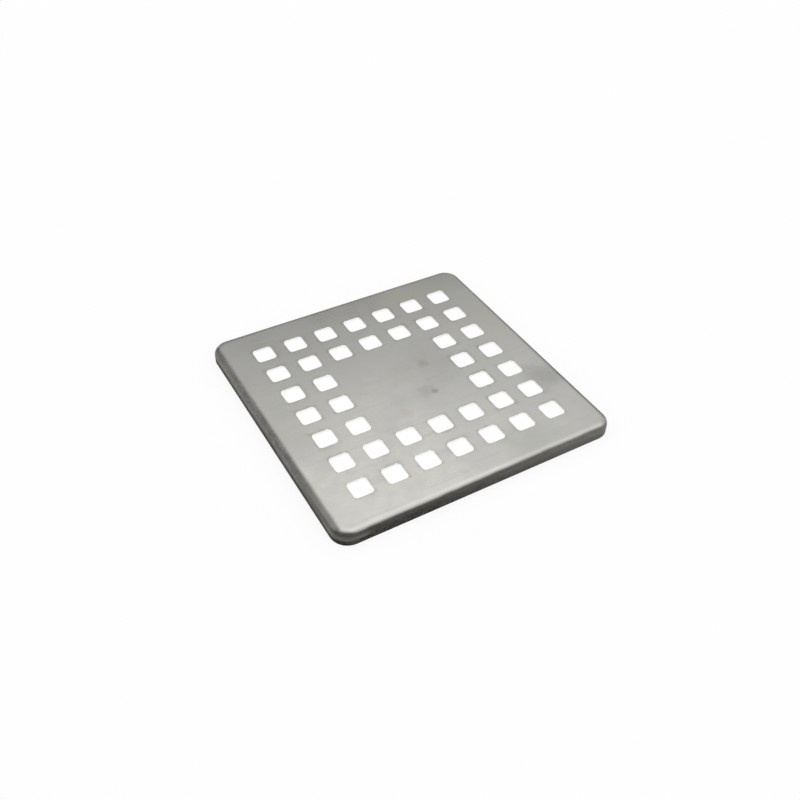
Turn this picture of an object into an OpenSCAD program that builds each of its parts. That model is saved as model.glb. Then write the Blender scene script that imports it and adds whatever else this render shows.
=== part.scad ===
// Square floor drain cover, pressed from one piece of stainless steel sheet.
// The sheet's edges are folded down into a shallow rim with rounded corners, and square
// holes are punched in a grid that leaves the middle of the face plain.
// Millimetres. The origin is under the middle of the cover, in the plane of the rim's foot.

/* [Cover] */
// Outer width of the square cover
cover_w = 102; // [92:1:150]
// Height from the foot of the rim to the top face
cover_h = 5; // [4:0.5:15]
// Outer radius of the corners, seen from above
corner_r = 6; // [4:0.5:15]

/* [Sheet] */
// Thickness of the sheet
sheet_t = 0.8; // [0.5:0.1:1.5]
// Inside radius of the fold between the face and the rim
fold_r = 1.7; // [0.6:0.1:2.2]

/* [Holes] */
// Holes along one side of the grid
grid_holes = 7; // [5:2:7]
// Holes left out along one side of the plain middle
plain_holes = 3; // [1:2:5]
// Distance between the centres of neighbouring holes
hole_pitch = 12; // [9:0.5:14]
// Side of a square hole
hole_w = 7; // [4:0.5:9]
// Radius of a hole's corners
hole_corner_r = 1; // [0.2:0.1:2]

/* [Hidden] */
$fn = 48;

// The fold's outer radius, and the straight stretch of each side between two corners
outer_fold_r = fold_r + sheet_t;
side_len = cover_w - 2 * corner_r;

// Steps from the middle hole to the last one of the grid, and of the plain middle
grid_reach = (grid_holes - 1) / 2;
plain_reach = (plain_holes - 1) / 2;

// How far a punch runs past both faces of the sheet
punch_run = 1;

// Section of the sheet from the centre of a corner's curve outwards: face, fold and rim
module rim_section() {
    fold_x = corner_r - outer_fold_r;
    fold_y = cover_h - outer_fold_r;

    translate([0, cover_h - sheet_t]) square([fold_x, sheet_t]);
    translate([fold_x, fold_y]) intersection() {
        difference() {
            circle(outer_fold_r);
            circle(fold_r);
        }
        square(outer_fold_r);
    }
    translate([corner_r - sheet_t, 0]) square([sheet_t, fold_y]);
}

// One straight side of the cover, and the rounded corner at its end
module side_and_corner() {
    translate([side_len / 2, side_len / 2, 0]) {
        rotate([90, 0, 0]) linear_extrude(side_len) rim_section();
        rotate_extrude(angle = 90) rim_section();
    }
}

// The sheet with its folded rim, before the holes are punched
module pressed_sheet() {
    translate([-side_len / 2, -side_len / 2, cover_h - sheet_t]) cube([side_len, side_len, sheet_t]);
    for (turn = [0:90:270]) rotate(turn) side_and_corner();
}

// Outline of a square hole with rounded corners, about its own centre
module hole_outline() {
    inner_w = hole_w - 2 * hole_corner_r;

    square([hole_w, inner_w], center = true);
    square([inner_w, hole_w], center = true);
    for (x = [-1, 1], y = [-1, 1]) translate([x, y] * inner_w / 2) circle(hole_corner_r);
}

// Punches for every place of the grid outside the plain middle
module punches() {
    for (column = [-grid_reach:grid_reach], row = [-grid_reach:grid_reach])
        if (max(abs(column), abs(row)) > plain_reach)
            translate([column * hole_pitch, row * hole_pitch, cover_h - sheet_t - punch_run])
                linear_extrude(sheet_t + 2 * punch_run) hole_outline();
}

module drain_cover() {
    color("silver") difference() {
        pressed_sheet();
        punches();
    }
}

drain_cover();
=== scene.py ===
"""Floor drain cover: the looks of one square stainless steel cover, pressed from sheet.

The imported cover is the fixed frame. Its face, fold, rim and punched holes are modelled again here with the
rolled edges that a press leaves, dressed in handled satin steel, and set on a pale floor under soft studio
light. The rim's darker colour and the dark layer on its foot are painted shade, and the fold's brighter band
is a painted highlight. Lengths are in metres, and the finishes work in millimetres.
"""

from __future__ import annotations

import logging
import math
from collections.abc import Callable, Iterator, Sequence
from dataclasses import dataclass, field
from enum import Enum
from typing import Union

import bmesh
import bpy
from mathutils import Matrix, Vector


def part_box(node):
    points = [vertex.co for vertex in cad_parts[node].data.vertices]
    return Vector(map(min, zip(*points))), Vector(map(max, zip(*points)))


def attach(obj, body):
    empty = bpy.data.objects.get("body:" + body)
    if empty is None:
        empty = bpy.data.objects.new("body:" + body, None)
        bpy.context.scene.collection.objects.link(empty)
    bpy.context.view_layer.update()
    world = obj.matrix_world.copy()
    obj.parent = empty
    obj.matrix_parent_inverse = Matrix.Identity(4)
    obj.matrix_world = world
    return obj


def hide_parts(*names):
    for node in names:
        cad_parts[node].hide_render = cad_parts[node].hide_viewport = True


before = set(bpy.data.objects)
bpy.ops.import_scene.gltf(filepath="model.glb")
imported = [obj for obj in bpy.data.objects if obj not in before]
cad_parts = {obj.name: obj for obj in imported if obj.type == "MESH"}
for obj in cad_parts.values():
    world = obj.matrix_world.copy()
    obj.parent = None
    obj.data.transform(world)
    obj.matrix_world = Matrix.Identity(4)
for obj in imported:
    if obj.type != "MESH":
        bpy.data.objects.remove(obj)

LOG = logging.getLogger("drain_cover")

MM = 0.001
WHITE = (1.0, 1.0, 1.0)
# How much the rim's dark non-metal layer of painted shade shines, as a Specular IOR Level.
SHADE_LAYER_GLOSS = 0.05
# The values between which most of a noise pattern lies.
NOISE_RANGE = (0.3, 0.7)

Colour = tuple[float, float, float]
Scale = tuple[float, float, float]
Place = tuple[float, float]
Span = tuple[float, float]
Socket = bpy.types.NodeSocket
Feed = Union[Socket, float, Sequence[float]]
Element = Union[bmesh.types.BMEdge, bmesh.types.BMFace]


class Zone(Enum):
    """The cover's surfaces, each with a finish of its own, in the order of the material slots."""

    FACE = 0
    CUT_EDGE = 1
    UNDERSIDE = 2


class Pick(Enum):
    """What a selection in edit mode is made of."""

    VERTEX = "VERT"
    EDGE = "EDGE"
    FACE = "FACE"


class SocketKind(Enum):
    """What runs through a node group's socket."""

    VALUE = "NodeSocketFloat"
    VECTOR = "NodeSocketVector"


class NodeSheet:
    """A node tree with short ways to add and join the nodes that the finishes use."""

    def __init__(self, tree: bpy.types.NodeTree) -> None:
        """Starts an empty sheet.

        Args:
            tree: a material's, world's or group's node tree, whose nodes are removed.
        """
        self.tree = tree
        tree.nodes.clear()

    def add(self, kind: str, **settings: object) -> bpy.types.Node:
        """Adds a node.

        Args:
            kind: the node's type.
            settings: attributes of the node, such as its operation.

        Returns:
            The new node.
        """
        node = self.tree.nodes.new(kind)
        for name, value in settings.items():
            setattr(node, name, value)
        return node

    def feed(self, socket: Socket, value: Feed) -> None:
        """Links an output to an input, or sets the input to a constant.

        Args:
            socket: the input.
            value: an output, a number or a sequence of numbers.
        """
        if isinstance(value, Socket):
            self.tree.links.new(value, socket)
        else:
            socket.default_value = value

    def math(self, operation: str, a: Feed, b: Feed = 0.0) -> Socket:
        """Works out one number from two.

        Args:
            operation: a Math node's operation.
            a: the first number.
            b: the second number.

        Returns:
            The result.
        """
        node = self.add("ShaderNodeMath", operation=operation)
        self.feed(node.inputs[0], a)
        self.feed(node.inputs[1], b)
        return node.outputs["Value"]

    def chain(self, operation: str, *values: Feed) -> Socket:
        """Works out one number from two or more, taken one after the other.

        Args:
            operation: a Math node's operation.
            values: the numbers.

        Returns:
            The result.
        """
        result = values[0]
        for value in values[1:]:
            result = self.math(operation, result, value)
        return result

    def product(self, *factors: Feed) -> Socket:
        """Multiplies two or more numbers."""
        return self.chain("MULTIPLY", *factors)

    def total(self, *terms: Feed) -> Socket:
        """Adds up two or more numbers."""
        return self.chain("ADD", *terms)

    def most(self, *values: Feed) -> Socket:
        """Gives the largest of two or more numbers."""
        return self.chain("MAXIMUM", *values)

    def left(self, share: Feed) -> Socket:
        """Gives what a share leaves of 1."""
        return self.math("SUBTRACT", 1.0, share)

    def weighed(self, a: Feed, b: Feed, share: float) -> Socket:
        """Adds up a share of one number and the rest of another."""
        return self.total(self.product(a, share), self.product(b, 1.0 - share))

    def vector(self, operation: str, a: Feed, b: Feed) -> bpy.types.Node:
        """Adds a Vector Math node.

        Args:
            operation: the node's operation.
            a: the first vector.
            b: the second vector.

        Returns:
            The node, because some operations give a Value and others a Vector.
        """
        node = self.add("ShaderNodeVectorMath", operation=operation)
        self.feed(node.inputs[0], a)
        self.feed(node.inputs[1], b)
        return node

    def tinted(self, colour: Feed, tint: Feed) -> Socket:
        """Multiplies a colour by another."""
        return self.vector("MULTIPLY", colour, tint).outputs["Vector"]

    def scaled(self, colour: Feed, amount: Feed) -> Socket:
        """Multiplies a colour by a number.

        Args:
            colour: the colour.
            amount: the number.

        Returns:
            The new colour.
        """
        node = self.add("ShaderNodeVectorMath", operation="SCALE")
        self.feed(node.inputs[0], colour)
        self.feed(node.inputs["Scale"], amount)
        return node.outputs["Vector"]

    def ramp(self, value: Feed, start: float, end: float, low: Feed = 0.0, high: Feed = 1.0) -> Socket:
        """Runs smoothly from low to high while a value goes from start to end.

        Args:
            value: the value.
            start: where low is reached.
            end: where high is reached.
            low: the result at start.
            high: the result at end.

        Returns:
            The result.
        """
        node = self.add("ShaderNodeMapRange", interpolation_type="SMOOTHSTEP")
        names = ("Value", "From Min", "From Max", "To Min", "To Max")
        for name, number in zip(names, (value, start, end, low, high), strict=True):
            self.feed(node.inputs[name], number)
        return node.outputs["Result"]

    def between(self, share: Feed, low: Feed, high: Feed) -> Socket:
        """Runs smoothly from low to high while a share goes from 0 to 1."""
        return self.ramp(share, 0.0, 1.0, low, high)

    def swing(self, pattern: Feed, low: float, high: float) -> Socket:
        """Runs smoothly from low to high over the usual range of a noise pattern."""
        return self.ramp(pattern, *NOISE_RANGE, low, high)

    def band(self, value: Feed, low: float, high: float, soft: float) -> Socket:
        """Gives 1 between two values, fading to 0 over a soft distance outside them.

        Args:
            value: the value.
            low: where the band starts.
            high: where it ends.
            soft: the soft distance.

        Returns:
            The mask, 1 in the band.
        """
        return self.product(self.ramp(value, low - soft, low), self.ramp(value, high + soft, high))

    def blend(self, share: Feed, a: Feed, b: Feed) -> Socket:
        """Mixes two colours.

        Args:
            share: how much of b shows, from 0 to 1.
            a: the first colour.
            b: the second colour.

        Returns:
            The mixed colour.
        """
        node = self.add("ShaderNodeMix", data_type="VECTOR")
        self.feed(node.inputs["Factor"], share)
        vectors = [socket for socket in node.inputs if socket.type == "VECTOR" and socket.name in ("A", "B")]
        self.feed(vectors[0], a)
        self.feed(vectors[1], b)
        return next(socket for socket in node.outputs if socket.type == "VECTOR")

    def noise(self, vector: Feed, scale: float = 1.0, detail: float = 2.0, roughness: float = 0.5) -> Socket:
        """Adds a noise pattern.

        Args:
            vector: the coordinates that it reads.
            scale: how many features there are in one unit.
            detail: how many finer layers it has.
            roughness: how strong the finer layers are.

        Returns:
            The pattern, about 0.5.
        """
        node = self.add("ShaderNodeTexNoise")
        self.feed(node.inputs["Vector"], vector)
        for name, number in (("Scale", scale), ("Detail", detail), ("Roughness", roughness)):
            self.feed(node.inputs[name], number)
        return node.outputs["Fac"]

    def coarse_noise(self, vector: Feed, scale: float = 1.0) -> Socket:
        """Adds a noise pattern whose finer layers are strong."""
        return self.noise(vector, scale, detail=3.0, roughness=0.6)

    def mapped(self, vector: Feed, scale: Sequence[float], turn: float = 0.0) -> Socket:
        """Scales coordinates after a turn about Z.

        Args:
            vector: the coordinates.
            scale: the scale along each axis.
            turn: the turn in radians.

        Returns:
            The new coordinates.
        """
        node = self.add("ShaderNodeMapping")
        self.feed(node.inputs["Vector"], vector)
        self.feed(node.inputs["Rotation"], (0.0, 0.0, turn))
        self.feed(node.inputs["Scale"], scale)
        return node.outputs["Vector"]

    def millimetres(self) -> Socket:
        """Gives the object's own coordinates in millimetres."""
        return self.mapped(self.add("ShaderNodeTexCoord").outputs["Object"], (1 / MM, 1 / MM, 1 / MM))

    def split(self, vector: Feed) -> tuple[Socket, Socket, Socket]:
        """Takes a vector apart.

        Args:
            vector: the vector.

        Returns:
            Its X, Y and Z.
        """
        node = self.add("ShaderNodeSeparateXYZ")
        self.feed(node.inputs["Vector"], vector)
        return node.outputs["X"], node.outputs["Y"], node.outputs["Z"]

    def wrapped(self, value: Feed, pitch: float) -> Socket:
        """Measures from the nearest place of an even row.

        Args:
            value: the place along the row, which has a place at 0.
            pitch: the distance between its places.

        Returns:
            How far the value lies past the nearest place.
        """
        node = self.add("ShaderNodeMath", operation="WRAP")
        for socket, number in zip(node.inputs, (value, -pitch / 2, pitch / 2), strict=True):
            self.feed(socket, number)
        return node.outputs["Value"]

    def square_reach(self, x: Feed, y: Feed) -> Socket:
        """Gives the half width of the square about the middle on which a place lies."""
        return self.most(self.math("ABSOLUTE", x), self.math("ABSOLUTE", y))

    def group(self, tree: bpy.types.NodeTree, **values: Feed) -> Socket:
        """Places a node group that has one output.

        Args:
            tree: the group.
            values: what its inputs take, by name.

        Returns:
            The group's output.
        """
        node = self.add("ShaderNodeGroup", node_tree=tree)
        for name, value in values.items():
            self.feed(node.inputs[name], value)
        return node.outputs[0]

    def bump(self, height: Feed, depth: float, under: Feed | None = None) -> Socket:
        """Adds relief.

        Args:
            height: the relief's height, as a share of its depth.
            depth: the depth in millimetres.
            under: the normal of a coarser relief that this one lies on.

        Returns:
            The normal.
        """
        node = self.add("ShaderNodeBump")
        self.feed(node.inputs["Strength"], 1.0)
        self.feed(node.inputs["Distance"], depth * MM)
        self.feed(node.inputs["Height"], height)
        if under is not None:
            self.feed(node.inputs["Normal"], under)
        return node.outputs["Normal"]

    def mix_shaders(self, share: Feed, a: Socket, b: Socket) -> Socket:
        """Mixes two shaders.

        Args:
            share: how much of b shows, from 0 to 1.
            a: the first shader.
            b: the second shader.

        Returns:
            The mixed shader.
        """
        node = self.add("ShaderNodeMixShader")
        for socket, value in zip(node.inputs, (share, a, b), strict=True):
            self.feed(socket, value)
        return node.outputs["Shader"]

    def metal(self, colour: Feed, roughness: Feed, normal: Feed, bare: Feed = 1.0) -> None:
        """Ends a material's sheet as metal.

        Args:
            colour: the surface's colour.
            roughness: the surface's roughness.
            normal: the surface's normal.
            bare: how much of the metal is bare, from 0 to 1, because the rim's dark layer of painted shade
                is no metal.
        """
        shader = self.add("ShaderNodeBsdfPrincipled")
        self.feed(shader.inputs["Specular IOR Level"], SHADE_LAYER_GLOSS)
        self.feed(shader.inputs["Metallic"], bare)
        self.feed(shader.inputs["Base Color"], colour)
        self.feed(shader.inputs["Roughness"], roughness)
        self.feed(shader.inputs["Normal"], normal)
        self.feed(self.add("ShaderNodeOutputMaterial").inputs["Surface"], shader.outputs["BSDF"])


def new_material(name: str) -> tuple[bpy.types.Material, NodeSheet]:
    """Starts a material.

    Args:
        name: the material's name.

    Returns:
        The material and its empty sheet.
    """
    material = bpy.data.materials.new(name)
    material.use_nodes = True
    return material, NodeSheet(material.node_tree)


@dataclass(frozen=True)
class HoleGrid:
    """The square holes: a grid of them that leaves its middle plain.

    Attributes:
        pitch: distance between neighbouring holes.
        width: side of a hole.
        corner: radius of a hole's corners.
        count: places along one side of the grid.
        plain: places along one side of the plain middle.
    """

    pitch: float = 12.0 * MM
    width: float = 6.9 * MM
    corner: float = 1.2 * MM
    count: int = 7
    plain: int = 3

    @property
    def reach(self) -> float:
        """Half the width of the grid's cells together."""
        return self.count * self.pitch / 2

    @property
    def bare_reach(self) -> float:
        """Half the width of the plain middle's cells together."""
        return self.plain * self.pitch / 2

    def places(self) -> Iterator[Place]:
        """Gives the centre of each hole.

        Yields:
            X and Y of a centre.
        """
        steps = [self.pitch * (step - (self.count - 1) / 2) for step in range(self.count)]
        for x in steps:
            for y in steps:
                if max(abs(x), abs(y)) > self.bare_reach:
                    yield x, y


@dataclass
class SurfaceEffects:
    """The grain, wear, dirt and patches that the finishes share, each a node group on a place in
    millimetres.

    A scale says how many features a pattern has in a millimetre. A span holds the value of a pattern at
    which an effect starts and the value at which it is full.

    Attributes:
        holes: the grid of holes, round which dirt collects.
        line_scale: scale of the grain's lines along each axis.
        tooth_scale: scale of the even tooth among the lines.
        line_share: share of the lines in the grain.
        wide_scale: scale of the wide clouds.
        close_scale: scale of the closer clouds.
        wide_share: share of the wide clouds.
        cloud_span: span of the clouds.
        scratch_ways: for each direction of scratches, its turn in radians and its shift in millimetres.
        scratch_scale: scale of the scratches along and across their direction.
        scratch_span: span of the scratches.
        blotches: for each size of blotches, their scale and the tones between which they swing.
        spot_scale: how many features a spot's uneven edge has in the spot's radius.
        spot_span: span of that unevenness.
        spot_pull: what it multiplies the distance from the spot's centre by, at least and at most.
        spot_core: share of the radius within which a spot is full.
        film_scale: scale of the uneven edge of the dirt round the holes.
        film_uneven: how far that edge moves in and out, in millimetres.
        film_reach: how far from a hole's edge the dirt ends, in millimetres.
        film_inset: how far within a hole's edge it would be full, in millimetres.
        patch_scale: scale of the patches of that dirt.
        patch_span: span of the patches.
        patch_least: what is left of the dirt between them.
        grain: short fine lines of rolled sheet, about 0.5.
        clouds: faint clouds left by water and hands, from 0 to 1.
        hairlines: sparse fine scratches, 1 in a scratch.
        mottle: close irregular mottling, about 1.
        spot: one patch with an uneven edge, 1 inside, used for dried spots and for wide patches of painted
            shade.
        hole_dirt: thin dirt round the holes, up to 1 at their edges.
    """

    holes: HoleGrid
    line_scale: Scale = (0.22, 5.0, 5.0)
    tooth_scale: float = 3.2
    line_share: float = 0.6
    wide_scale: float = 0.05
    close_scale: float = 0.24
    wide_share: float = 0.6
    cloud_span: Span = (0.34, 0.66)
    scratch_ways: tuple[Span, ...] = ((0.35, 3.0), (1.31, 17.0), (2.44, 41.0))
    scratch_scale: Scale = (0.025, 0.8, 0.025)
    scratch_span: Span = (0.72, 0.80)
    blotches: tuple[tuple[float, float, float], ...] = ((0.28, 0.42, 0.58), (1.1, 0.35, 0.65))
    spot_scale: float = 1.4
    spot_span: Span = (0.2, 0.8)
    spot_pull: Span = (0.6, 1.5)
    spot_core: float = 0.15
    film_scale: float = 0.45
    film_uneven: float = 0.6
    film_reach: float = 1.2
    film_inset: float = 0.1
    patch_scale: float = 0.11
    patch_span: Span = (0.38, 0.6)
    patch_least: float = 0.3
    grain: bpy.types.NodeTree = field(init=False)
    clouds: bpy.types.NodeTree = field(init=False)
    hairlines: bpy.types.NodeTree = field(init=False)
    mottle: bpy.types.NodeTree = field(init=False)
    spot: bpy.types.NodeTree = field(init=False)
    hole_dirt: bpy.types.NodeTree = field(init=False)

    def build(self) -> None:
        """Makes all the groups."""
        self.grain = self._group("rolled_grain", self._rolled_grain)
        self.clouds = self._group("handling_clouds", self._handling_clouds)
        self.hairlines = self._group("hairlines", self._hairlines)
        self.mottle = self._group("mottle", self._mottle)
        own_inputs = {"Centre": SocketKind.VECTOR, "Radius": SocketKind.VALUE}
        self.spot = self._group("spot_and_shade_patch", self._spot_and_shade_patch, **own_inputs)
        self.hole_dirt = self._group("hole_dirt", self._hole_dirt)

    @staticmethod
    def _group(name: str, fill: Callable[..., Socket], **inputs: SocketKind) -> bpy.types.NodeTree:
        """Makes one group.

        Args:
            name: the group's name.
            fill: the function that adds its nodes, given the sheet and each input.
            inputs: the inputs that it has besides the place.

        Returns:
            The group.
        """
        tree = bpy.data.node_groups.new(name, "ShaderNodeTree")
        sheet = NodeSheet(tree)
        tree.interface.new_socket("Place", in_out="INPUT", socket_type=SocketKind.VECTOR.value)
        for label, kind in inputs.items():
            tree.interface.new_socket(label, in_out="INPUT", socket_type=kind.value)
        tree.interface.new_socket("Amount", in_out="OUTPUT", socket_type=SocketKind.VALUE.value)
        given, result = sheet.add("NodeGroupInput"), sheet.add("NodeGroupOutput")
        amount = fill(sheet, given.outputs["Place"], *(given.outputs[label] for label in inputs))
        sheet.feed(result.inputs["Amount"], amount)
        return tree

    def _rolled_grain(self, sheet: NodeSheet, place: Socket) -> Socket:
        """Mixes short lines along X with an even tooth.

        Args:
            sheet: the group's sheet.
            place: the place.

        Returns:
            The grain.
        """
        lines = sheet.noise(sheet.mapped(place, self.line_scale), detail=3.0, roughness=0.65)
        tooth = sheet.noise(place, self.tooth_scale, roughness=0.6)
        return sheet.weighed(lines, tooth, self.line_share)

    def _handling_clouds(self, sheet: NodeSheet, place: Socket) -> Socket:
        """Mixes wide clouds with closer ones.

        Args:
            sheet: the group's sheet.
            place: the place.

        Returns:
            The clouds.
        """
        wide = sheet.noise(place, self.wide_scale)
        close = sheet.noise(place, self.close_scale, detail=3.0, roughness=0.55)
        return sheet.ramp(sheet.weighed(wide, close, self.wide_share), *self.cloud_span)

    def _hairlines(self, sheet: NodeSheet, place: Socket) -> Socket:
        """Keeps the crests of noise that is drawn out in three directions.

        Args:
            sheet: the group's sheet.
            place: the place.

        Returns:
            The scratches.
        """
        lines: Feed = 0.0
        for turn, shift in self.scratch_ways:
            moved = sheet.vector("ADD", place, (shift, shift, 0.0)).outputs["Vector"]
            crest = sheet.noise(sheet.mapped(moved, self.scratch_scale, turn), detail=0.0)
            lines = sheet.most(lines, sheet.ramp(crest, *self.scratch_span))
        return lines

    def _mottle(self, sheet: NodeSheet, place: Socket) -> Socket:
        """Mixes blotches of two sizes.

        Args:
            sheet: the group's sheet.
            place: the place.

        Returns:
            The mottling.
        """
        tones = [
            sheet.swing(sheet.coarse_noise(place, scale), low, high) for scale, low, high in self.blotches
        ]
        return sheet.total(*tones)

    def _spot_and_shade_patch(self, sheet: NodeSheet, place: Socket, centre: Socket, radius: Socket) -> Socket:
        """Fades from a centre, over a distance that noise makes uneven.

        Args:
            sheet: the group's sheet.
            place: the place.
            centre: the spot's centre.
            radius: how far it reaches.

        Returns:
            The spot.
        """
        apart = sheet.vector("SUBTRACT", place, centre).outputs["Vector"]
        level = sheet.vector("MULTIPLY", apart, (1.0, 1.0, 0.0)).outputs["Vector"]
        share = sheet.scaled(level, sheet.math("DIVIDE", 1.0, radius))
        far = sheet.vector("DISTANCE", share, (0.0, 0.0, 0.0)).outputs["Value"]
        own = sheet.vector("ADD", share, centre).outputs["Vector"]
        uneven = sheet.noise(own, self.spot_scale, detail=3.0)
        ragged = sheet.ramp(uneven, *self.spot_span, *self.spot_pull)
        return sheet.ramp(sheet.product(far, ragged), 1.0, self.spot_core)

    def _hole_dirt(self, sheet: NodeSheet, place: Socket) -> Socket:
        """Fades away from the edges of the holes, unevenly.

        Args:
            sheet: the group's sheet.
            place: the place.

        Returns:
            The dirt.
        """
        x, y, _ = sheet.split(place)
        half = self.holes.width / MM / 2
        off_x, off_y = (sheet.wrapped(axis, self.holes.pitch / MM) for axis in (x, y))
        reach = sheet.square_reach(x, y)
        holed = sheet.product(
            sheet.math("GREATER_THAN", reach, self.holes.bare_reach / MM),
            sheet.math("LESS_THAN", reach, self.holes.reach / MM),
        )
        edge = sheet.coarse_noise(place, self.film_scale)
        uneven = sheet.swing(edge, -self.film_uneven, self.film_uneven)
        off_centre = sheet.total(sheet.square_reach(off_x, off_y), uneven)
        near = sheet.ramp(off_centre, half + self.film_reach, half - self.film_inset)
        patchy = sheet.ramp(sheet.noise(place, self.patch_scale), *self.patch_span, self.patch_least, 1.0)
        return sheet.product(near, holed, patchy)


@dataclass(frozen=True)
class StainAndShade:
    """One mark on the face: a dried spot, a wide tint, a wide patch of dullness and painted shade.

    Attributes:
        centre: its place in millimetres.
        radius: its reach in millimetres.
        left: what is left of the steel's colour in its middle.
        dulls: what it adds to the roughness in its middle.
    """

    centre: Place
    radius: float
    left: Colour
    dulls: float = 0.03


@dataclass(frozen=True)
class RimPaintedShade:
    """A dark dull layer of painted shade along the rim's foot, up the near side and on the +X and +Y folds,
    standing in for the shadowed floor and the dark surroundings that the rim reflects.

    Attributes:
        colour: its colour, the painted shade's.
        roughness: its roughness.
        foot: how much it covers at the foot, as painted contact shadow.
        foot_top: height in millimetres up to which the foot's shade reaches.
        foot_full: height in millimetres under which it is thickest.
        near_foot: the share of the foot's shade on the near side.
        near: how much it covers on the darkest stretch of the near side.
        near_high: the share of that just under the fold.
        near_top: height in millimetres over which that share holds.
        near_low: height in millimetres under which the near side is darkest.
        near_side: Y in millimetres at which the near side starts.
        near_full: Y in millimetres beyond which its shade is whole.
        end: X in millimetres towards which the shade of the near side thins out, beyond the cover.
        full: X in millimetres up to which it is thickest.
        spill: how much it covers where it runs on round the corner.
        spill_end: Y in millimetres up to which it runs on.
        far: how much it covers on the +X and +Y folds.
        far_from: X or Y in millimetres at which it starts on those folds.
        far_full: X or Y in millimetres from which it is thickest there.
        far_low: height in millimetres at which it ends there.
        far_high: height in millimetres over which it is thickest there.
        sheen_left: what is left of the shade in the lighter band round the corner of -X and -Y,
            a painted reflection of the floor.
        sheen_reach: how far from the middle that corner starts, in millimetres.
        sheen_low: height in millimetres at which that band starts.
        sheen_high: height in millimetres at which it ends.
        sheen_soft: over how many millimetres it fades below and above.
        mottle_span: the mottling at which the shade is thinnest, and at which it is thickest.
        mottle_cover: what the mottling multiplies the cover by there.
    """

    # Painted shade: a dark dull layer for the shadowed floor and dark surroundings that the rim reflects.
    colour: Colour = (0.022, 0.021, 0.0185)
    roughness: float = 0.62
    foot: float = 0.8
    foot_top: float = 3.7
    foot_full: float = 1.6
    near_foot: float = 0.42
    near: float = 0.82
    near_high: float = 0.82
    near_top: float = 4.2
    near_low: float = 2.2
    near_side: float = -44.5
    near_full: float = -47.5
    end: float = 62.0
    full: float = -36.0
    spill: float = 0.35
    spill_end: float = -8.0
    far: float = 0.55
    far_from: float = 48.7
    far_full: float = 50.0
    far_low: float = 1.5
    far_high: float = 4.2
    sheen_left: float = 0.5
    sheen_reach: float = 37.0
    sheen_low: float = 2.1
    sheen_high: float = 3.2
    sheen_soft: float = 0.6
    mottle_span: Span = (0.85, 1.15)
    mottle_cover: Span = (0.8, 1.12)

    def cover(self, sheet: NodeSheet, effects: SurfaceEffects, place: Socket) -> Socket:
        """Says how much the painted shade covers.

        Args:
            sheet: the material's sheet.
            effects: the shared node groups.
            place: the place in millimetres.

        Returns:
            The cover, from 0 to 1.
        """
        x, y, height = sheet.split(place)
        stretch = sheet.ramp(x, self.end, self.full)
        side = sheet.ramp(y, self.near_side, self.near_full)
        thick = sheet.ramp(height, self.near_top, self.near_low, self.near * self.near_high, self.near)
        round_corner = sheet.ramp(y, self.spill_end, self.near_full, 0.0, self.spill)
        near = sheet.product(stretch, sheet.most(sheet.product(side, thick), round_corner))
        behind = sheet.product(
            sheet.ramp(sheet.most(x, y), self.far_from, self.far_full, 0.0, self.far),
            sheet.ramp(height, self.far_low, self.far_high),
        )
        # Darker towards the foot: painted contact shadow.
        foot = sheet.product(
            sheet.ramp(height, self.foot_top, self.foot_full, 0.0, self.foot),
            sheet.between(side, 1.0, self.near_foot),
        )
        # clean: the share that the painted shade leaves bare.
        clean = sheet.product(sheet.left(sheet.most(near, behind)), sheet.left(foot))
        # sheen: a lighter band with less painted shade, a painted reflection of the floor.
        sheen = sheet.product(
            sheet.ramp(x, -self.sheen_reach, self.near_side),
            sheet.ramp(y, -self.sheen_reach, self.near_side),
            sheet.band(height, self.sheen_low, self.sheen_high, self.sheen_soft),
        )
        broken = sheet.product(
            sheet.ramp(sheet.group(effects.mottle, Place=place), *self.mottle_span, *self.mottle_cover),
            sheet.between(sheen, 1.0, self.sheen_left),
        )
        return sheet.math("MINIMUM", sheet.product(sheet.left(clean), broken), 1.0)


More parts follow.
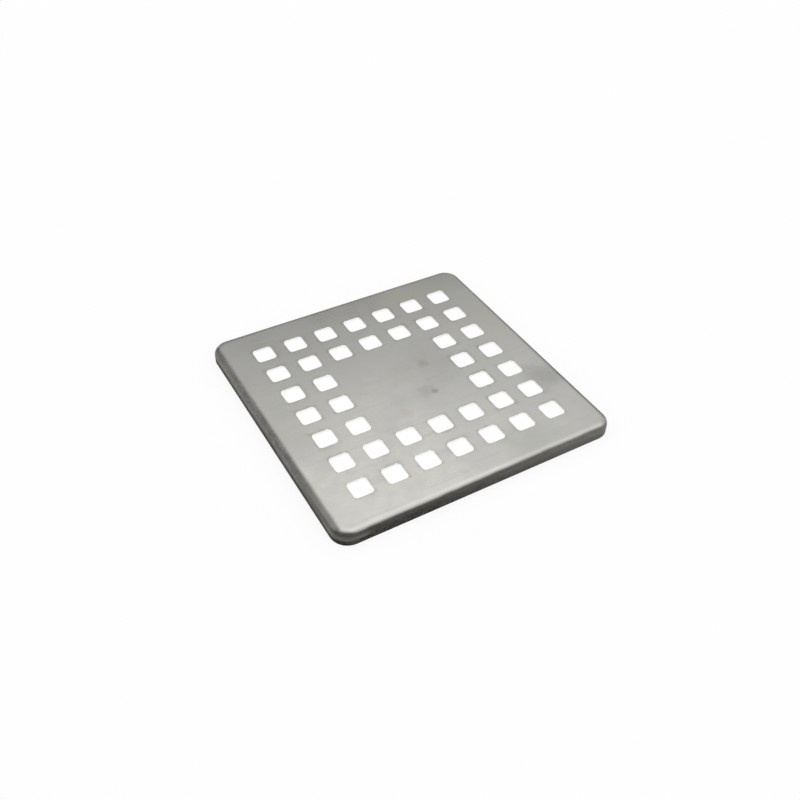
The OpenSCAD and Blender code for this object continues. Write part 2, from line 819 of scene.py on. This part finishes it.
@dataclass(frozen=True)
class PaintedShadeRim:
    """The rim below the fold: steel darkened as painted shade, mottled and streaked.

    Attributes:
        colour: its darker colour, painted shade for the dark surroundings that it reflects.
        top: height in millimetres at which it starts at the -X end.
        fade: how far below that nothing of the face's finish is left, in millimetres.
        lift: how much higher it starts at the +X end, in millimetres.
        lift_from: X in millimetres from which it starts higher.
        lift_to: X in millimetres from which it starts highest.
        corner_lift: how much higher it starts round the corner of -X and -Y, in millimetres.
        corner_from: how far from the middle it starts to rise there, in millimetres.
        corner_full: how far from the middle it is highest there, in millimetres.
        side_from: X in millimetres at which the -X fold starts to darken.
        side_full: X in millimetres beyond which it is as dark as the rim.
        side_near: Y in millimetres up to which the -X fold darkens least.
        side_far: Y in millimetres from which it darkens wholly.
        side_least: the share to which it darkens where it darkens least.
        far_from: X or Y in millimetres at which the +X and +Y folds start to darken.
        far_full: X or Y in millimetres beyond which they darken no more.
        far_share: the share to which they darken.
        roughness: its roughness.
        scuff_scale: features of the scuffed upper edge in a millimetre.
        scuff: how far that edge is moved up and down, in millimetres.
        streak_scale: features of the drawn streaks in a millimetre, along each axis.
        streak_span: the noise at which a streak is darkest, and at which it is lightest.
        streak_tone: what the streaks multiply the colour by there.
        reflected_gain: what the painted reflection streak along the -X side gains in tone.
        reflected_from: Y in millimetres at which that streak starts.
        reflected_to: Y in millimetres at which it ends.
        reflected_ends: over how many millimetres it fades at its ends.
        reflected_low: height in millimetres of its lower edge.
        reflected_high: height in millimetres of its upper edge.
        reflected_soft: over how many millimetres it fades beyond those edges.
        reflected_side: X in millimetres at which the -X side begins for it.
        reflected_full: X in millimetres beyond which it is whole.
        painted_shade: the dark layer of painted shade on it.
    """

    # Painted shade: darker than the face, for the dark surroundings that the rim reflects.
    colour: Colour = (0.175, 0.172, 0.160)
    top: float = 4.6
    fade: float = 0.7
    lift: float = 0.2
    lift_from: float = -20.0
    lift_to: float = 50.0
    corner_lift: float = 0.38
    corner_from: float = 44.0
    corner_full: float = 47.5
    side_from: float = -48.1
    side_full: float = -49.5
    side_near: float = -44.0
    side_far: float = -12.0
    side_least: float = 0.7
    far_from: float = 48.4
    far_full: float = 49.7
    far_share: float = 0.85
    roughness: float = 0.36
    scuff_scale: float = 0.16
    scuff: float = 0.06
    streak_scale: Scale = (0.09, 0.09, 2.0)
    streak_span: Span = (0.25, 0.75)
    streak_tone: Span = (0.85, 1.16)
    reflected_gain: float = 0.3
    reflected_from: float = 16.0
    reflected_to: float = 43.0
    reflected_ends: float = 8.0
    reflected_low: float = 2.0
    reflected_high: float = 2.7
    reflected_soft: float = 0.7
    reflected_side: float = -50.0
    reflected_full: float = -50.8
    painted_shade: RimPaintedShade = RimPaintedShade()

    def mask(self, sheet: NodeSheet, place: Socket) -> Socket:
        """Says where the rim's painted shade lies, below the fold and on the folds, with a scuffed upper
        edge.

        Args:
            sheet: the material's sheet.
            place: the place in millimetres.

        Returns:
            The mask, 1 on the rim.
        """
        x, y, height = sheet.split(place)
        scuff = sheet.swing(sheet.noise(place, self.scuff_scale, detail=1.5), -self.scuff, self.scuff)
        lift = sheet.ramp(x, self.lift_from, self.lift_to, 0.0, -self.lift)
        corner = sheet.product(
            sheet.ramp(x, -self.corner_from, -self.corner_full),
            sheet.ramp(y, -self.corner_from, -self.corner_full),
            -self.corner_lift,
        )
        below = sheet.ramp(sheet.total(height, scuff, lift, corner), self.top, self.top - self.fade)
        beside = sheet.product(
            sheet.ramp(sheet.total(x, scuff), self.side_from, self.side_full),
            sheet.ramp(y, self.side_near, self.side_far, self.side_least, 1.0),
        )
        outer = sheet.total(sheet.most(x, y), scuff)
        behind = sheet.ramp(outer, self.far_from, self.far_full, 0.0, self.far_share)
        return sheet.most(below, beside, behind)

    def tone(self, sheet: NodeSheet, effects: SurfaceEffects, place: Socket) -> Socket:
        """Gives the rim's darkened colour, painted shade, with its lighter painted reflection streak along
        -X.

        Args:
            sheet: the material's sheet.
            effects: the shared node groups.
            place: the place in millimetres.

        Returns:
            The colour.
        """
        drawn = sheet.coarse_noise(sheet.mapped(place, self.streak_scale))
        # The lighter streak along the -X side is a painted reflection of the floor.
        amount = sheet.product(
            sheet.group(effects.mottle, Place=place),
            sheet.ramp(drawn, *self.streak_span, *self.streak_tone),
            sheet.total(1.0, sheet.product(self._reflected_streak(sheet, place), self.reflected_gain)),
        )
        return sheet.scaled(self.colour, amount)

    def _reflected_streak(self, sheet: NodeSheet, place: Socket) -> Socket:
        """Says where the painted reflection of the floor lies along the -X side, as a lighter streak.

        Args:
            sheet: the material's sheet.
            place: the place in millimetres.

        Returns:
            The mask, 1 in the streak.
        """
        x, y, height = sheet.split(place)
        along = sheet.band(y, self.reflected_from, self.reflected_to, self.reflected_ends)
        across = sheet.band(height, self.reflected_low, self.reflected_high, self.reflected_soft)
        return sheet.product(along, across, sheet.ramp(x, self.reflected_side, self.reflected_full))


@dataclass(frozen=True)
class FaceFinish:
    """Satin rolled steel with the marks of use and a painted highlight along the fold, going over to the rim
    below the fold, whose darker colour is painted shade.

    Attributes:
        half_width: half the cover's width in millimetres.
        steel: colour of the clean steel.
        warm: tint of the steel where the clouds are thin.
        cool: tint of the steel where the clouds are thick.
        roughness: roughness of the clean steel.
        cloud_dulls: how far the clouds move the roughness down and up.
        grain_tone: what the grain multiplies the colour by, at least and at most.
        scratch_tone: what is left of the colour in a scratch.
        scratch_dulls: what a scratch adds to the roughness.
        sheen: what the fold's upper half gains in tone, a painted highlight.
        sheen_low: height in millimetres at which the painted highlight on the fold starts.
        sheen_high: height in millimetres at which it ends.
        sheen_soft: over how many millimetres it fades below and above.
        sheen_scale: features of its patches in a millimetre.
        sheen_span: the noise at which a patch starts, and at which it is full.
        wave_scale: features of the sheet's waves in a millimetre.
        wave_depth: depth of the waves in millimetres.
        grain_depth: depth of the grain in millimetres.
        hole_film: what is left of the steel's colour under the dirt at the edges of the holes.
        twist: how far the sheet's corners lie off its plane in millimetres, as its reflections show.
        stains_and_shade: the spots and tints on the face, and wide grey patches that are partly dullness and
        partly painted shade.
        rim: the rim, whose darker colour is painted shade.
    """

    half_width: float
    steel: Colour = (0.500, 0.4945, 0.4715)
    warm: Colour = (1.02, 1.018, 1.003)
    cool: Colour = (0.978, 0.981, 0.990)
    roughness: float = 0.30
    cloud_dulls: float = 0.03
    grain_tone: Span = (0.975, 1.025)
    scratch_tone: float = 0.98
    scratch_dulls: float = 0.05
    sheen: float = 0.08
    sheen_low: float = 4.7
    sheen_high: float = 4.9
    sheen_soft: float = 0.09
    sheen_scale: float = 0.09
    sheen_span: Span = (0.4, 0.62)
    wave_scale: float = 0.035
    wave_depth: float = 0.08
    grain_depth: float = 0.0025
    hole_film: Colour = (0.865, 0.85, 0.80)
    twist: float = 0.94
    # Small stains are dried spots; the wide grey ones are partly dullness and partly painted shade.
    stains_and_shade: tuple[StainAndShade, ...] = (
        StainAndShade((10.5, 5.2), 2.9, (0.85, 0.85, 0.845)),
        StainAndShade((6.7, -9.5), 1.9, (0.73, 0.725, 0.72)),
        StainAndShade((4.2, -8.0), 4.8, (0.90, 0.898, 0.89)),
        StainAndShade((-7.0, -14.5), 3.2, (0.975, 0.925, 0.915)),
        StainAndShade((44.0, -21.0), 11.0, (0.82, 0.82, 0.82)),
        StainAndShade((13.0, 4.0), 18.0, (0.91, 0.91, 0.912)),
        StainAndShade((22.0, -45.0), 16.0, (0.935, 0.942, 0.927)),
        StainAndShade((48.0, 48.0), 16.0, (0.92, 0.928, 0.925)),
        StainAndShade((23.0, 45.0), 15.0, (1.0, 0.997, 0.92)),
        StainAndShade((45.0, 20.0), 13.0, (1.0, 0.998, 0.94)),
        StainAndShade((-46.0, 4.0), 24.0, (0.975, 0.975, 0.95)),
    )
    rim: PaintedShadeRim = PaintedShadeRim()

    def material(self, effects: SurfaceEffects) -> bpy.types.Material:
        """Builds the finish.

        Args:
            effects: the shared node groups.

        Returns:
            The material.
        """
        material, sheet = new_material("satin_face")
        place = sheet.millimetres()
        cloud = sheet.group(effects.clouds, Place=place)
        grain = sheet.group(effects.grain, Place=place)
        scratch = sheet.group(effects.hairlines, Place=place)
        # rim: where the rim's painted shade lies.
        rim = self.rim.mask(sheet, place)
        # The tone carries a painted highlight along the fold.
        tone = sheet.product(
            sheet.swing(grain, *self.grain_tone),
            sheet.between(scratch, 1.0, self.scratch_tone),
            self._fold_sheen(sheet, place),
        )
        steel = sheet.tinted(self.steel, sheet.blend(cloud, self.warm, self.cool))
        film = sheet.blend(sheet.group(effects.hole_dirt, Place=place), WHITE, self.hole_film)
        clean = sheet.scaled(sheet.tinted(steel, film), tone)
        colour, dull = self._stained_and_shaded(sheet, effects, place, clean)
        # Painted shade: the dark layer over the rim's foot, its near side and the +X and +Y folds.
        painted_shade = sheet.product(rim, self.rim.painted_shade.cover(sheet, effects, place))
        colour = sheet.blend(rim, colour, self.rim.tone(sheet, effects, place))
        colour = sheet.blend(painted_shade, colour, self.rim.painted_shade.colour)
        rough = sheet.total(
            sheet.between(cloud, self.roughness - self.cloud_dulls, self.roughness + self.cloud_dulls),
            dull,
            sheet.product(scratch, self.scratch_dulls),
            sheet.product(rim, self.rim.roughness - self.roughness),
            sheet.product(painted_shade, self.rim.painted_shade.roughness - self.rim.roughness),
        )
        sheet.metal(colour, rough, self._relief(sheet, place, grain), sheet.left(painted_shade))
        return material

    def _fold_sheen(self, sheet: NodeSheet, place: Socket) -> Socket:
        """Gives the tone of the fold's upper half, with a painted highlight in places.

        Args:
            sheet: the material's sheet.
            place: the place in millimetres.

        Returns:
            The tone, 1 away from the painted highlight.
        """
        height = sheet.split(place)[2]
        fold = sheet.band(height, self.sheen_low, self.sheen_high, self.sheen_soft)
        patchy = sheet.ramp(sheet.noise(place, self.sheen_scale), *self.sheen_span)
        return sheet.total(1.0, sheet.product(fold, patchy, self.sheen))

    def _stained_and_shaded(
        self, sheet: NodeSheet, effects: SurfaceEffects, place: Socket, colour: Socket
    ) -> tuple[Socket, Socket]:
        """Lays the stains and the wide patches of painted shade on the steel.

        Args:
            sheet: the material's sheet.
            effects: the shared node groups.
            place: the place in millimetres.
            colour: the clean steel's colour.

        Returns:
            The stained and shaded colour, and what the marks add to the roughness.
        """
        dull: Feed = 0.0
        for face_mark in self.stains_and_shade:
            spot = sheet.group(effects.spot, Place=place, Centre=(*face_mark.centre, 0.0), Radius=face_mark.radius)
            colour = sheet.tinted(colour, sheet.blend(spot, WHITE, face_mark.left))
            dull = sheet.total(dull, sheet.product(spot, face_mark.dulls))
        return colour, dull

    def _relief(self, sheet: NodeSheet, place: Socket, grain: Socket) -> Socket:
        """Lays the sheet's twist, its waves and its grain over one another.

        Args:
            sheet: the material's sheet.
            place: the place in millimetres.
            grain: the rolled grain.

        Returns:
            The normal.
        """
        x, y, _ = sheet.split(place)
        twisted = sheet.bump(sheet.product(x, y, -1.0 / self.half_width**2), self.twist)
        waves = sheet.noise(place, self.wave_scale, detail=1.0, roughness=0.4)
        waved = sheet.bump(waves, self.wave_depth, twisted)
        return sheet.bump(grain, self.grain_depth, waved)


@dataclass(frozen=True)
class CutEdgeFinish:
    """Bright sheared steel in the holes, burnished above and torn below, and darker on the rim's foot as
    painted contact shadow on the cut's own duller tone.

    Attributes:
        steel: colour of the burnished cut.
        foot_shade: what is left of it on the rim's foot, partly the cut's own tone and partly painted
            contact shadow.
        foot_top: height in millimetres under which the cut is the foot's.
        foot_end: height in millimetres over which nothing of the foot's tone is left.
        torn_tone: what is left of it where the cut is torn.
        torn: height in millimetres under which the cut is torn.
        burnished: height in millimetres over which it is burnished.
        streak_scale: features of the shear's streaks in a millimetre, along each axis.
        streak_tone: what the streaks multiply the colour by, at least and at most.
        streak_share: share of the streaks in the relief, the rest of which is grain.
        depth: depth of the relief in millimetres.
        torn_roughness: roughness where the cut is torn.
        roughness: roughness where it is burnished.
    """

    steel: Colour = (0.93, 0.928, 0.915)
    # Painted contact shadow, over the foot cut's own duller tone.
    foot_shade: float = 0.45
    foot_top: float = 1.0
    foot_end: float = 2.0
    torn_tone: float = 0.94
    torn: float = 4.4
    burnished: float = 4.65
    streak_scale: Scale = (6.0, 6.0, 0.5)
    streak_tone: Span = (0.96, 1.02)
    streak_share: float = 0.7
    depth: float = 0.008
    torn_roughness: float = 0.34
    roughness: float = 0.2

    def material(self, effects: SurfaceEffects) -> bpy.types.Material:
        """Builds the finish.

        Args:
            effects: the shared node groups.

        Returns:
            The material.
        """
        material, sheet = new_material("sheared_edge")
        place = sheet.millimetres()
        height = sheet.split(place)[2]
        bright = sheet.ramp(height, self.torn, self.burnished)
        streak = sheet.noise(sheet.mapped(place, self.streak_scale))
        tone = sheet.product(
            sheet.swing(streak, *self.streak_tone),
            sheet.between(bright, self.torn_tone, 1.0),
            sheet.ramp(height, self.foot_top, self.foot_end, self.foot_shade, 1.0),
        )
        relief = sheet.weighed(streak, sheet.group(effects.grain, Place=place), self.streak_share)
        rough = sheet.between(bright, self.torn_roughness, self.roughness)
        sheet.metal(sheet.scaled(self.steel, tone), rough, sheet.bump(relief, self.depth))
        return material


@dataclass(frozen=True)
class UndersideFinish:
    """Dull mill finish under the cover, with a film of dried water.

    Attributes:
        steel: colour of the clean steel.
        film: colour of the dried film.
        film_most: how much the film covers at most.
        roughness: roughness of the clean steel.
        film_roughness: roughness of the film.
        grain_tone: what the grain multiplies the steel's colour by, at least and at most.
        grain_depth: depth of the grain in millimetres.
    """

    steel: Colour = (0.47, 0.465, 0.445)
    film: Colour = (0.37, 0.358, 0.325)
    film_most: float = 0.6
    roughness: float = 0.38
    film_roughness: float = 0.56
    grain_tone: Span = (0.96, 1.04)
    grain_depth: float = 0.004

    def material(self, effects: SurfaceEffects) -> bpy.types.Material:
        """Builds the finish.

        Args:
            effects: the shared node groups.

        Returns:
            The material.
        """
        material, sheet = new_material("mill_underside")
        place = sheet.millimetres()
        grain = sheet.group(effects.grain, Place=place)
        film = sheet.between(sheet.group(effects.clouds, Place=place), 0.0, self.film_most)
        clean = sheet.scaled(self.steel, sheet.swing(grain, *self.grain_tone))
        rough = sheet.between(film, self.roughness, self.film_roughness)
        sheet.metal(sheet.blend(film, clean, self.film), rough, sheet.bump(grain, self.grain_depth))
        return material


@dataclass
class PressedCover:
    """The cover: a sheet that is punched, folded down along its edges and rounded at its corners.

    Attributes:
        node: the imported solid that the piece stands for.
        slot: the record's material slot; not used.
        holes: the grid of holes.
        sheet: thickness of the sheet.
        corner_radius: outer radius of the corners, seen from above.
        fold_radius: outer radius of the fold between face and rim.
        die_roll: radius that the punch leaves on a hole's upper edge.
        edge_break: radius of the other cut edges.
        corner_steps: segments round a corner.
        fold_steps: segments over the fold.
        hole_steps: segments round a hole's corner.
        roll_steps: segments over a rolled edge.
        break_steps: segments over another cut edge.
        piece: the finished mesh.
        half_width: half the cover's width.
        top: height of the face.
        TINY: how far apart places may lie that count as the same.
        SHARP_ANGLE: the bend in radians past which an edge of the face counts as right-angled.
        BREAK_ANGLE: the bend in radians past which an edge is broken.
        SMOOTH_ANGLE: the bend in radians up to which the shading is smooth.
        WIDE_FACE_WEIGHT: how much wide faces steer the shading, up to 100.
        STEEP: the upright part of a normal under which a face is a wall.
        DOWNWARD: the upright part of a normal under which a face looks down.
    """

    node: str = "drain_cover"
    slot: str = "stainless_steel"
    holes: HoleGrid = HoleGrid()
    sheet: float = 0.8 * MM
    corner_radius: float = 6.0 * MM
    fold_radius: float = 2.5 * MM
    die_roll: float = 0.15 * MM
    edge_break: float = 0.05 * MM
    corner_steps: int = 12
    fold_steps: int = 10
    hole_steps: int = 6
    roll_steps: int = 3
    break_steps: int = 2
    piece: bpy.types.Object = field(init=False)
    half_width: float = field(init=False)
    top: float = field(init=False)

    TINY = 0.01 * MM
    SHARP_ANGLE = math.radians(60)
    BREAK_ANGLE = math.radians(50)
    SMOOTH_ANGLE = math.radians(35)
    WIDE_FACE_WEIGHT = 100
    STEEP = 0.5
    DOWNWARD = -0.1

    def __post_init__(self) -> None:
        """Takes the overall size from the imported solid."""
        low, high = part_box(self.node)
        self.half_width = (high.x - low.x) / 2
        self.top = high.z

    def build(self) -> bpy.types.Object:
        """Models the cover.

        Returns:
            The finished piece.
        """
        bpy.ops.object.select_all(action="DESELECT")
        bpy.ops.mesh.primitive_grid_add(
            x_subdivisions=self.holes.count,
            y_subdivisions=self.holes.count,
            size=2 * self.holes.reach,
            location=(0.0, 0.0, self.top),
        )
        self.piece = bpy.context.object
        self.piece.name = self.piece.data.name = "pressed_cover"
        bpy.ops.object.transform_apply(location=True, rotation=True, scale=True)
        bpy.ops.object.mode_set(mode="EDIT")
        self._punch_holes()
        self._widen_to_outline()
        self._fold_rim()
        bpy.ops.object.mode_set(mode="OBJECT")
        self._modify(
            "SOLIDIFY", thickness=self.sheet, offset=-1.0, use_even_offset=True, use_quality_normals=True
        )
        self._roll_hole_edges()
        self._modify("BEVEL", width=self.edge_break, segments=self.break_steps, angle_limit=self.BREAK_ANGLE)
        bpy.ops.object.shade_smooth_by_angle(angle=self.SMOOTH_ANGLE)
        self._modify("WEIGHTED_NORMAL", keep_sharp=True, weight=self.WIDE_FACE_WEIGHT)
        return self.piece

    def _choose(self, kind: Pick, wanted: Callable[[Element], bool]) -> None:
        """Selects what passes a test, in edit mode.

        Args:
            kind: whether edges or faces are selected.
            wanted: the test.
        """
        bpy.ops.mesh.select_mode(type=kind.value)
        bpy.ops.mesh.select_all(action="DESELECT")
        mesh = bmesh.from_edit_mesh(self.piece.data)
        for item in {Pick.EDGE: mesh.edges, Pick.FACE: mesh.faces}[kind]:
            if wanted(item):
                item.select_set(True)
        mesh.select_flush_mode()
        bmesh.update_edit_mesh(self.piece.data)

    def _modify(self, kind: str, **settings: object) -> None:
        """Adds a modifier and applies it.

        Args:
            kind: the modifier's type.
            settings: its attributes.
        """
        modifier = self.piece.modifiers.new(kind.lower(), kind)
        for name, value in settings.items():
            setattr(modifier, name, value)
        bpy.ops.object.modifier_apply(modifier=modifier.name)

    def _is_hole(self, face: bmesh.types.BMFace) -> bool:
        """Says whether a face's middle is a hole's."""
        middle = face.calc_center_bounds().xy
        return any((middle - Vector(place)).length < self.TINY for place in self.holes.places())

    def _is_at_top(self, edge: bmesh.types.BMEdge) -> bool:
        """Says whether an edge lies in the plane of the face."""
        return all(abs(vertex.co.z - self.top) < self.TINY for vertex in edge.verts)

    def _is_sharp_at_top(self, edge: bmesh.types.BMEdge) -> bool:
        """Says whether an edge in the plane of the face is a right-angled one."""
        return self._is_at_top(edge) and edge.calc_face_angle(0.0) > self.SHARP_ANGLE

    def _punch_holes(self) -> None:
        """Insets a square in each holed cell of the grid, rounds its corners and cuts it out."""
        self._choose(Pick.FACE, self._is_hole)
        bpy.ops.mesh.inset(thickness=(self.holes.pitch - self.holes.width) / 2, use_individual=True)
        self._choose(Pick.FACE, self._is_hole)
        bpy.ops.mesh.select_mode(type=Pick.VERTEX.value)
        bpy.ops.mesh.bevel(offset=self.holes.corner, segments=self.hole_steps, affect="VERTICES")
        self._choose(Pick.FACE, self._is_hole)
        bpy.ops.mesh.delete(type="FACE")

    def _widen_to_outline(self) -> None:
        """Extrudes the grid's outer edges to the cover's square outline."""

        def on_border(edge: bmesh.types.BMEdge) -> bool:
            """Says whether an edge lies on the grid's border."""
            return all(max(map(abs, vertex.co.xy)) > self.holes.reach - self.TINY for vertex in edge.verts)

        self._choose(Pick.EDGE, lambda edge: edge.is_boundary and on_border(edge))
        bpy.ops.mesh.extrude_edges_move()
        grow = self.half_width / self.holes.reach
        bpy.ops.transform.resize(value=(grow, grow, 1.0), center_override=(0.0, 0.0, self.top))

    def _fold_rim(self) -> None:
        """Extrudes the outline down to the foot, then rounds the four corners and the fold."""
        bpy.ops.mesh.extrude_edges_move(TRANSFORM_OT_translate={"value": (0.0, 0.0, -self.top)})

        def is_upright_corner(edge: bmesh.types.BMEdge) -> bool:
            """Says whether an edge stands at a corner of the outline."""
            return all(min(map(abs, vertex.co.xy)) > self.half_width - self.TINY for vertex in edge.verts)

        self._choose(Pick.EDGE, is_upright_corner)
        bpy.ops.mesh.bevel(offset=self.corner_radius, segments=self.corner_steps, affect="EDGES")
        self._choose(Pick.EDGE, self._is_sharp_at_top)
        bpy.ops.mesh.bevel(offset=self.fold_radius, segments=self.fold_steps, affect="EDGES")

    def _roll_hole_edges(self) -> None:
        """Rounds the upper edge of each hole, as the punch does."""
        bpy.ops.object.mode_set(mode="EDIT")
        self._choose(Pick.EDGE, self._is_sharp_at_top)
        bpy.ops.mesh.bevel(offset=self.die_roll, segments=self.roll_steps, affect="EDGES")
        bpy.ops.object.mode_set(mode="OBJECT")

    def dress(self, effects: SurfaceEffects) -> None:
        """Gives each surface its finish, and sets the cover in the frame.

        Args:
            effects: the shared node groups.
        """
        finishes = {
            Zone.FACE: FaceFinish(self.half_width / MM),
            Zone.CUT_EDGE: CutEdgeFinish(),
            Zone.UNDERSIDE: UndersideFinish(),
        }
        for zone in Zone:
            self.piece.data.materials.append(finishes[zone].material(effects))
        for polygon in self.piece.data.polygons:
            polygon.material_index = self._zone(polygon).value
        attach(self.piece, "root")
        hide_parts(self.node)

    def _zone(self, polygon: bpy.types.MeshPolygon) -> Zone:
        """Says which surface a face belongs to.

        Args:
            polygon: a face of the finished mesh.

        Returns:
            The face's zone.
        """
        middle, normal = polygon.center, polygon.normal
        steep = abs(normal.z) < self.STEEP
        among_holes = max(abs(middle.x), abs(middle.y)) < self.holes.reach
        on_foot = middle.z < self.edge_break and normal.z < -self.STEEP
        if (among_holes and steep) or on_foot:
            return Zone.CUT_EDGE
        if normal.z < self.DOWNWARD or (steep and normal.xy.dot(middle.xy) < 0.0):
            return Zone.UNDERSIDE
        return Zone.FACE


def heading(azimuth: float, elevation: float) -> Vector:
    """Gives a direction from the cover.

    Args:
        azimuth: its bearing in radians, 0 on the -Y side and positive towards +X.
        elevation: its height over the horizon in radians.

    Returns:
        The direction, of length 1.
    """
    level = math.cos(elevation)
    return Vector((math.sin(azimuth) * level, -math.cos(azimuth) * level, math.sin(elevation)))


@dataclass(frozen=True)
class DomePart:
    """A round part of the dome with a soft edge.

    Attributes:
        azimuth: bearing of its middle in degrees.
        elevation: height of its middle over the horizon in degrees.
        inner: angle from its middle within which it is full, in degrees.
        outer: angle from its middle beyond which it is gone, in degrees.
    """

    azimuth: float
    elevation: float
    inner: float
    outer: float

    def mask(self, sheet: NodeSheet, ray: Socket) -> Socket:
        """Says where the part is.

        Args:
            sheet: the world's sheet.
            ray: the direction that is looked in.

        Returns:
            The mask, 1 in its middle.
        """
        middle = heading(math.radians(self.azimuth), math.radians(self.elevation))
        near = sheet.vector("DOT_PRODUCT", ray, tuple(middle)).outputs["Value"]
        return sheet.ramp(near, math.cos(math.radians(self.outer)), math.cos(math.radians(self.inner)))


@dataclass
class Studio:
    """A pale floor and a soft dome of light.

    The dome has a lamp high behind the cover, and dark cards behind the cover and beside it.

    Attributes:
        floor_reach: half the floor's width.
        floor_drop: how far the floor lies under the rim's foot.
        floor_colour: colour of the floor.
        glow: share of the floor that looks plain white to the camera and in reflections.
        level: the dome's even level.
        lamp_gain: what the dome gains in the lamp.
        foot_level: the dome's level at the horizon, where it looks as white as the floor.
        white_below: height over the horizon in degrees under which the dome is white, as the floor is.
        even_above: height over the horizon in degrees over which nothing of that white is left.
        lamp: where the lamp is.
        cards: where each card is, and the share of the light that it takes.
    """

    floor_reach: float = 12.0
    floor_drop: float = 0.05 * MM
    floor_colour: Colour = (0.95, 0.95, 0.945)
    glow: float = 0.85
    level: float = 0.80
    lamp_gain: float = 0.62
    foot_level: float = 0.97
    white_below: float = 7.5
    even_above: float = 12.0
    lamp: DomePart = DomePart(azimuth=142.6, elevation=60.0, inner=20.0, outer=75.0)
    cards: tuple[tuple[DomePart, float], ...] = (
        (DomePart(azimuth=172.9, elevation=10.4, inner=26.5, outer=43.0), 0.82),
        (DomePart(azimuth=110.0, elevation=28.8, inner=17.0, outer=36.0), 0.44),
    )

    def build(self, cover: PressedCover) -> None:
        """Makes the floor and the light.

        Args:
            cover: the cover, through whose holes the floor shows white.
        """
        self._floor(cover)
        self._dome()

    def _floor(self, cover: PressedCover) -> None:
        """Makes the floor, which keeps the cover's shadow and is clear from below.

        Args:
            cover: the cover that lies on it.
        """
        bpy.ops.object.select_all(action="DESELECT")
        bpy.ops.mesh.primitive_plane_add(size=2 * self.floor_reach, location=(0.0, 0.0, -self.floor_drop))
        floor = bpy.context.object
        floor.name = "floor"
        bpy.ops.object.transform_apply(location=True, rotation=True, scale=True)
        material, sheet = new_material("pale_floor")
        path = sheet.add("ShaderNodeLightPath").outputs
        seen = sheet.most(path["Is Camera Ray"], path["Is Glossy Ray"], path["Is Transmission Ray"])
        x, y, _ = sheet.split(sheet.add("ShaderNodeTexCoord").outputs["Object"])
        beneath = sheet.math("LESS_THAN", sheet.square_reach(x, y), cover.half_width - 2 * cover.fold_radius)
        matt = sheet.add("ShaderNodeBsdfDiffuse")
        sheet.feed(matt.inputs["Color"], (*self.floor_colour, 1.0))
        lit = sheet.mix_shaders(
            sheet.product(seen, sheet.most(beneath, self.glow)),
            matt.outputs["BSDF"],
            sheet.add("ShaderNodeEmission").outputs["Emission"],
        )
        from_below = sheet.add("ShaderNodeNewGeometry").outputs["Backfacing"]
        clear = sheet.add("ShaderNodeBsdfTransparent").outputs["BSDF"]
        shown = sheet.mix_shaders(from_below, lit, clear)
        sheet.feed(sheet.add("ShaderNodeOutputMaterial").inputs["Surface"], shown)
        floor.data.materials.append(material)

    def _dome(self) -> None:
        """Makes the dome with its lamp, its cards and its white foot."""
        world = bpy.data.worlds.new("soft_dome")
        world.use_nodes = True
        bpy.context.scene.world = world
        sheet = NodeSheet(world.node_tree)
        ray = sheet.add("ShaderNodeTexCoord").outputs["Generated"]
        above = sheet.total(self.level, sheet.product(self.lamp.mask(sheet, ray), self.lamp_gain))
        for card, loss in self.cards:
            above = sheet.product(above, sheet.between(card.mask(sheet, ray), 1.0, 1.0 - loss))
        white_below = math.sin(math.radians(self.white_below))
        even_above = math.sin(math.radians(self.even_above))
        level = sheet.ramp(sheet.split(ray)[2], white_below, even_above, self.foot_level, above)
        light = sheet.add("ShaderNodeBackground")
        sheet.feed(light.inputs["Color"], (*WHITE, 1.0))
        sheet.feed(light.inputs["Strength"], level)
        sheet.feed(sheet.add("ShaderNodeOutputWorld").inputs["Surface"], light.outputs["Background"])


@dataclass
class PhotoCamera:
    """A camera at the photograph's viewing angle.

    Attributes:
        aim: the point in the middle of the view.
        distance: from that point to the camera.
        azimuth: the camera's bearing from the cover in radians, 0 on the -Y side and positive towards +X.
        elevation: how far it looks down, in radians.
        roll: how far it is turned about its own axis, in radians.
        lens: focal length in millimetres on the default sensor.
        near_clip: how near it sees.
    """

    aim: tuple[float, float, float] = (-5.95 * MM, -7.79 * MM, 5.0 * MM)
    distance: float = 299.2 * MM
    azimuth: float = math.radians(-30.80)
    elevation: float = math.radians(42.41)
    roll: float = math.radians(1.38)
    lens: float = 40.18
    near_clip: float = 10.0 * MM

    def build(self) -> bpy.types.Object:
        """Makes the camera and sets it as the scene's.

        Returns:
            The camera.
        """
        level = Vector((math.cos(self.azimuth), math.sin(self.azimuth), 0.0))
        back = heading(self.azimuth, self.elevation)
        right = level * math.cos(self.roll) + back.cross(level) * math.sin(self.roll)
        turn = Matrix((right, back.cross(right), back)).transposed().to_4x4()
        data = bpy.data.cameras.new("photo_camera")
        data.lens = self.lens
        data.clip_start = self.near_clip
        camera = bpy.data.objects.new("photo_camera", data)
        camera.matrix_world = Matrix.Translation(Vector(self.aim) + back * self.distance) @ turn
        bpy.context.scene.collection.objects.link(camera)
        bpy.context.scene.camera = camera
        return camera


def plain(box: tuple[Vector, Vector]) -> list[list[float]]:
    """Turns a box's two corners into plain lists."""
    return [list(corner) for corner in box]


def main() -> None:
    """Builds the cover, the studio and the camera."""
    logging.basicConfig(level=logging.INFO, format="%(name)s: %(message)s")
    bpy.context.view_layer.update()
    bpy.context.scene.view_settings.view_transform = "Standard"
    cover = PressedCover()
    piece = cover.build()
    effects = SurfaceEffects(cover.holes)
    effects.build()
    cover.dress(effects)
    LOG.info("%s: %d faces, %d finishes", piece.name, len(piece.data.polygons), len(piece.data.materials))
    Studio().build(cover)
    LOG.info("floor and light are in place")
    camera = PhotoCamera().build()
    LOG.info("%s looks from %.3f, %.3f, %.3f", camera.name, *camera.matrix_world.translation)


if __name__ == "__main__":
    main()
